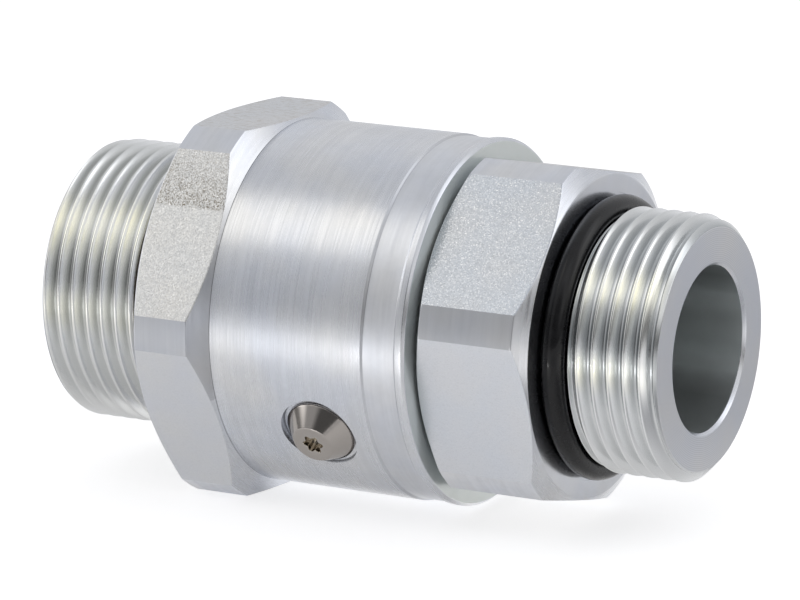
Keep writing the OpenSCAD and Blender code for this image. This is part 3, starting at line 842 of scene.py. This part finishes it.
# The stem
def stem_outline(columns, radii):
    """Outline of the stem with its journal, race, grooves, hexagon and stud."""
    start_r = STEM_HEX_HALF - HEX_STEP
    line = Outline(columns)

    def groove(x, w, r):
        line.to(x, JOURNAL_R, "turned").to(x, r, "turned")
        line.to(x + w, r, "turned").to(x + w, JOURNAL_R, "turned")

    line.to(NOSE_X, STEM_BORE_R, "bore", WIDE_EDGE, BORE_STEP)
    line.to(NOSE_X, JOURNAL_R - NOSE_CHAMFER_L * HEX_SLOPE, "face")
    line.to(NOSE_X + NOSE_CHAMFER_L, JOURNAL_R, "turned")
    groove(GLAND["x"], GLAND["w"], GLAND["r"])
    groove(REAR_WEAR_X, WEAR_GROOVE["w"], WEAR_GROOVE["r"])
    half = math.degrees(math.acos((JOURNAL_R - RACE["mean_r"]) / RACE["r"]))
    reach = RACE["r"] * math.sin(math.radians(half))
    line.to(RACE["x"] - reach, JOURNAL_R, "turned")
    line.arc(RACE["x"], RACE["mean_r"], RACE["r"], -half, half - 360, "turned")
    line.to(RACE["x"] + reach, JOURNAL_R, "turned")
    groove(FRONT_WEAR_X, WEAR_GROOVE["w"], WEAR_GROOVE["r"])
    line.to(STEM_HEX_X, JOURNAL_R, "turned")
    line.to(STEM_HEX_X, start_r, "face", FINE_EDGE)
    line.to(STEM_HEX_X + (radii - start_r) * HEX_SLOPE, radii, "chamfer", EDGE)
    line.to(SHOULDER_X - (radii - start_r) * HEX_SLOPE, radii, "hexagon", EDGE)
    seat_x = SHOULDER_X - RING_SEAT["h"]
    line.to(SHOULDER_X, start_r, "chamfer", EDGE).to(SHOULDER_X, RING_SEAT["r"], "shoulder")
    line.to(seat_x, RING_SEAT["r"], "shoulder").to(seat_x, STUD_RELIEF_R, "shoulder", WIDE_EDGE)
    line.to(FLANK_X, STUD_RELIEF_R, "turned", 0, ROW_STEP * 3)
    line.to(FLANK_X + STUD_R - STUD_RELIEF_R, STUD_R, "turned", 0, ROW_STEP)
    line.to(TIP_X - STUD_CHAMFER["l"], STUD_R, "turned", 0, ROW_STEP)
    line.to(TIP_X, STUD_R - STUD_CHAMFER["h"], "turned", EDGE, ROW_STEP)
    line.to(TIP_X, STEM_BORE_R + BORE_CHAMFER, "face", FINE_EDGE)
    line.to(TIP_X - BORE_CHAMFER, STEM_BORE_R, "chamfer", FINE_EDGE)
    return line


def make_stem(tree):
    """The stem with its stud's thread."""
    angles, radii, on_flat = hexagon_columns(STEM_HEX_HALF, STEM_CORNER_R, STEM_TURN)
    outline = stem_outline(len(angles), radii)
    piece = build_shell("stem_shell", angles, outline, finish_picker(angles, on_flat))
    for finish in (*shell_finishes.values(), flats["glinting"], flats["pale"]):
        piece.data.materials.append(finish)
    cut_thread(piece, tree, STUD_R, STUD_CUT, STUD_CREST_X, stud_thread_finish)
    apply_modifiers(piece)
    shade(piece, [STUD_SMOOTH])
    return piece


# Small pieces
def make_ring(name, x, mean_r, section, finish):
    """Round-section ring on the axis."""
    line = Outline(RING_COLUMNS)
    for k in range(RING_STEPS):
        turn = 2 * math.pi * k / RING_STEPS
        line.to(x - section / 2 * math.cos(turn), mean_r + section / 2 * math.sin(turn), "skin")
    angles = np.arange(RING_COLUMNS) * (360 / RING_COLUMNS)
    piece = build_shell(name, angles, line, lambda zone, column: 0)
    piece.data.materials.append(finish)
    shade(piece, [])
    return piece


def make_screw(finish, recess_finish):
    """Screw of the loading port, with a coned head and a six-lobe recess."""
    base, rim, r, top_r = HEAD_BASE_R, HEAD_BASE_R + HEAD["rim"], HEAD["r"], HEAD["top_r"]
    top = base + HEAD["h"]
    floor = top - RECESS["h"]
    lobed = RECESS["r"]

    def lobes(here, turn):
        if abs(here - lobed) < LOBE_MARGIN:
            return here - RECESS["lobe"] * (1 - math.cos(6 * turn))
        return here

    shank, foot = SCREW_R - SCREW_GAP, PORT_STEP_R + SCREW_GAP
    # Foot and shank, the rounded rim, the cone with its rounded top, and the recess
    stations = [(foot, 0), (foot, shank), (base, shank),
                (base, r - 0.1), (base + 0.03, r - 0.03), (base + 0.1, r),
                (rim - 0.08, r), (rim, r - 0.03), (rim + 0.1, r - 0.11),
                (top - 0.12, top_r + 0.09), (top - 0.04, top_r + 0.01), (top, top_r - 0.09),
                (top, top_r - 0.3), (top, lobed + 0.1), (top - 0.02, lobed + 0.04), (top - 0.1, lobed),
                (floor, lobed), (floor, lobed - 0.1), (floor - RECESS["cone"], 0)]
    piece = port_solid("loading_screw", stations, lobes)
    piece.data.materials.append(finish)
    piece.data.materials.append(recess_finish)
    for face in piece.data.polygons:
        level, away = port_place(face.center)
        if floor - 0.4 < level < top - 0.03 and away < lobed + 0.02:
            face.material_index = 1
    shade(piece, [])
    return piece


slot_finishes = {
    "seal_rubber": dark_rubber("seal rubber", (0.008, 0.008, 0.009), 0.27),
    "wiper_polymer": dark_rubber("wiper polyurethane", (0.03, 0.07, 0.06), 0.45),
    "screw_stainless": bright_steel("screw stainless", (0.43, 0.40, 0.375), 0.13),
    "plug_steel": bright_steel("ground plug steel", (0.70, 0.70, 0.72), 0.25),
    "ball_steel": bright_steel("ball steel", (0.80, 0.80, 0.82), 0.08),
    "wear_polymer": woven_resin("wear strip resin", (0.35, 0.22, 0.12)),
    "backup_polymer": waxy_polymer("back-up polymer", (0.85, 0.84, 0.80)),
    "housing_zinc": shell_finishes["barrel"],
    "stem_zinc": shell_finishes["barrel"],
}
recess_steel = bright_steel("recess stainless", (0.66, 0.62, 0.56), 0.06)
rubber = slot_finishes["seal_rubber"]

tree = thread_tree()
housing = make_housing(tree)
stem = make_stem(tree)
ring_x = (ring_low.x + ring_high.x) / 2
stud_ring = make_ring("stud_ring", ring_x, ring_high.z - RING_SECTION / 2, RING_SECTION, rubber)
face_section = face_ring_high.x - face_ring_low.x
face_ring_x = (face_ring_low.x + face_ring_high.x) / 2
face_ring = make_ring("face_ring", face_ring_x, face_ring_high.z - face_section / 2, face_section, rubber)
screw = make_screw(slot_finishes["screw_stainless"], recess_steel)

for piece, body, node, slot in (
    (housing, "housing", "housing", "housing_zinc"),
    (stem, "stem", "swivel_stem", "stem_zinc"),
    (stud_ring, "stem", "stud_o_ring", "seal_rubber"),
    (face_ring, "housing", "face_o_ring", "seal_rubber"),
    (screw, "housing", "plug_screw", "screw_stainless"),
):
    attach(piece, body)
    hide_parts(node)

for part in frame["record"]["subparts"]:
    node = frame["nodes"][part["node"]]
    finish = slot_finishes[part["material_slot"]]
    if not node.data.materials:
        node.data.materials.append(finish)
    for slot in node.material_slots:
        slot.material = finish


# Floor, light and camera
# The floor: its half width in metres, its brightness for the camera, and what the metal sees in it: a level
# everywhere, bright and dark cards (x, y, half length along X, full within, gone beyond, level; in mm), and
# a lighter strip behind the object that fades in and out along X
FLOOR_HALF = 4.0
FLOOR_SEEN = 0.69
FLOOR_GLOW = (1, 0.99, 0.97, 1)
FLOOR_LEVEL = 0.36
FLOOR_CARDS = (
    (-38.0, -115.0, 36.0, 20.0, 55.0, 0.54),
    (150.0, -15.0, 0.0, 25.0, 70.0, 0.5),
    (105.0, 110.0, 0.0, 65.0, 115.0, -0.26),
    (-115.0, -170.0, 0.0, 20.0, 70.0, 0.35),
    (82.0, -20.0, 0.0, 15.0, 45.0, -0.42),
    (120.0, -170.0, 0.0, 50.0, 100.0, -0.24),
)
FLOOR_STRIP = {"in": (-32.0, -26.0), "out": (22.0, 34.0), "from": (-8.5, -4.5), "level": 0.42}
# The room: angle from +Z towards -Y and brightness there; then, towards +X and -X, height and brightness
# there, dark along the horizon and bright a little above it; and where the one passes into the other
ROOM_STOPS = ((-180, 0.9), (-95, 0.84), (-80, 0.66), (-55, 0.80), (-30, 0.76), (-12, 0.66), (8, 0.64),
              (40, 0.74), (58, 0.54), (72, 0.48), (90, 0.45), (105, 0.7), (180, 0.7))
ROOM_TINT = (0.985, 0.995, 1.02)
SIDE_STOPS = ((0.0, 0.10), (0.12, 0.12), (0.22, 0.55), (0.32, 1.0), (0.45, 0.8), (0.7, 0.7))
SIDE_EDGE = (0.62, 0.82)
# Round patches of the room: direction, cosines at the edge and where it is full, strength
ROOM_PATCHES = (
    ((0.38, -0.89, 0.25), 0.79, 0.92, 0.25),
    ((0.45, -0.55, 0.70), 0.87, 0.97, 1.45),
    ((0.85, 0.38, 0.36), 0.915, 0.975, 1.7),
    ((0.62, 0.31, 0.72), 0.94, 0.98, 1.8),
    ((-0.93, -0.30, 0.15), 0.85, 0.97, 2.6),
)
# A softbox, and a strip lamp by the floor for the line of light along the front
SOFTBOX = {"way": (-0.46, -0.43, 0.776), "distance": 0.9, "size": (0.38, 0.38), "power": 0.33}
SOFTBOX_COLOUR = (1.0, 0.955, 0.86)
STRIP = {"place": (-0.010, -0.112, housing_low.z * MM + 0.0025), "size": (0.04, 0.004), "power": 0.003}
# The photograph's camera: its axes to the right, up and back, and its place
CAMERA_AXES = ((0.880, 0.475, 0), (-0.108, 0.200, 0.974), (0.462, -0.857, 0.2275))
CAMERA_PLACE = (0.29386, -0.5451, 0.1460)
CAMERA_LENS = 224.87
CAMERA_SENSOR = 36


def floor_in_metal(finish):
    """Brightness of the floor as the metal sees it."""
    maths = finish.maths
    parts = finish.add("ShaderNodeSeparateXYZ", {0: finish.place}).outputs
    x, y = parts["X"], parts["Y"]
    glossy = 0.0
    for at_x, at_y, half_l, full, none, level in FLOOR_CARDS:
        beside = maths("SUBTRACT", maths("ABSOLUTE", maths("SUBTRACT", x, at_x)), half_l)
        off_x = maths("MAXIMUM", beside, 0.0)
        off_y = maths("SUBTRACT", y, at_y)
        square = maths("ADD", maths("MULTIPLY", off_x, off_x), maths("MULTIPLY", off_y, off_y))
        glossy = maths("ADD", glossy, finish.spread(maths("SQRT", square), full, none, level, 0.0))
    strip = FLOOR_STRIP
    fade_in, fade_out = finish.spread(x, *strip["in"], 0.0, 1.0), finish.spread(x, *strip["out"], 1.0, 0.0)
    behind = finish.spread(y, *strip["from"], 0.0, strip["level"])
    behind = maths("MULTIPLY", behind, maths("MULTIPLY", fade_in, fade_out))
    return maths("ADD", maths("ADD", glossy, behind), FLOOR_LEVEL)


def make_floor():
    """Plain pale floor; the camera sees it white, with the object's shadow."""
    z, half = housing_low.z * MM, FLOOR_HALF
    mesh = bpy.data.meshes.new("floor")
    corners = [(-half, -half, z), (half, -half, z), (half, half, z), (-half, half, z)]
    mesh.from_pydata(corners, [], [(0, 1, 2, 3)])
    floor = add_object("floor", mesh)
    finish = Finish("floor", (0.55, 0.55, 0.56), 0.9, 0.0)
    finish.set(Specular_IOR_Level=0.0)
    ray = finish.add("ShaderNodeLightPath").outputs
    direct = finish.maths("ADD", ray["Is Camera Ray"], ray["Is Transmission Ray"])
    seen = finish.add("ShaderNodeEmission", {"Strength": finish.maths("MULTIPLY", direct, FLOOR_SEEN)})
    mirrored = finish.maths("MULTIPLY", ray["Is Glossy Ray"], floor_in_metal(finish))
    glow = finish.add("ShaderNodeEmission", {"Color": FLOOR_GLOW, "Strength": mirrored})
    both = finish.add("ShaderNodeAddShader", {0: seen.outputs[0], 1: glow.outputs[0]})
    both = finish.add("ShaderNodeAddShader", {0: finish.shader.outputs[0], 1: both.outputs[0]})
    finish.links.new(both.outputs[0], finish.nodes["Material Output"].inputs["Surface"])
    mesh.materials.append(finish.material)


def make_world():
    """White room: white for the camera, and graded by direction for the metal."""
    world = bpy.data.worlds.new("studio")
    bpy.context.scene.world = world
    world.use_nodes = True
    world.node_tree.nodes.clear()
    sky = Nodes(world.node_tree)

    def graded(value, stops, interpolation, tint):
        """Colour that follows stops of (place from 0 to 1, brightness)."""
        node = sky.add("ShaderNodeValToRGB", {0: value})
        node.color_ramp.interpolation = interpolation
        elements = node.color_ramp.elements
        for k, (spot, level) in enumerate(stops):
            element = elements[k] if k < 2 else elements.new(spot)
            element.position = spot
            element.color = (*[level * c for c in tint], 1)
        return node.outputs[0]

    way = sky.add("ShaderNodeTexCoord").outputs["Generated"]
    x, y, z = sky.add("ShaderNodeSeparateXYZ", {0: way}).outputs
    angle = sky.maths("ARCTAN2", sky.maths("MULTIPLY", y, -1.0), z)
    round_share = sky.spread(angle, -math.pi, math.pi, 0.0, 1.0)
    stops = [((degrees + 180) / 360, level) for degrees, level in ROOM_STOPS]
    front = graded(round_share, stops, "B_SPLINE", ROOM_TINT)
    side = graded(z, SIDE_STOPS, "LINEAR", (1, 1, 1))
    to_side = sky.spread(sky.maths("ABSOLUTE", x), *SIDE_EDGE, 0.0, 1.0)
    strength = 1.0
    for direction, edge, full, level in ROOM_PATCHES:
        facing = sky.add("ShaderNodeVectorMath", {0: way, 1: direction}, operation="DOT_PRODUCT")
        patch = sky.spread(facing.outputs["Value"], edge, full, 1.0, level)
        strength = sky.maths("MULTIPLY", strength, patch)
    colour = sky.blend(to_side, front, side)
    room = sky.add("ShaderNodeBackground", {"Color": colour, "Strength": strength}).outputs[0]
    white = sky.add("ShaderNodeBackground", {"Color": (1, 1, 1, 1), "Strength": 1.0}).outputs[0]
    by_camera = sky.add("ShaderNodeLightPath").outputs["Is Camera Ray"]
    either = sky.add("ShaderNodeMixShader", {0: by_camera, 1: room, 2: white}).outputs[0]
    sky.add("ShaderNodeOutputWorld", {0: either})


def make_lamp(name, place, turn, size, power, colour=(1, 1, 1)):
    """Rectangular lamp; unturned, it shines down."""
    data = bpy.data.lights.new(name, "AREA")
    data.shape = "RECTANGLE"
    data.size, data.size_y = size
    data.energy = power
    data.color = colour
    lamp = add_object(name, data)
    lamp.location = place
    lamp.rotation_euler = turn


def make_camera():
    """Camera at the photograph's angle."""
    data = bpy.data.cameras.new("camera")
    data.lens = CAMERA_LENS
    data.sensor_width = CAMERA_SENSOR
    data.clip_start = 0.01
    camera = add_object("camera", data)
    turn = Matrix(CAMERA_AXES).transposed()
    camera.matrix_world = Matrix.Translation(CAMERA_PLACE) @ turn.to_4x4()
    bpy.context.scene.camera = camera


make_floor()
make_world()
way = Vector(SOFTBOX["way"]).normalized()
facing = way.to_track_quat("Z", "Y").to_euler()
make_lamp("softbox", way * SOFTBOX["distance"], facing, SOFTBOX["size"], SOFTBOX["power"], SOFTBOX_COLOUR)
make_lamp("low strip", STRIP["place"], (math.pi / 2, 0, 0), STRIP["size"], STRIP["power"])
make_camera()
bpy.context.scene.view_settings.view_transform = "Standard"
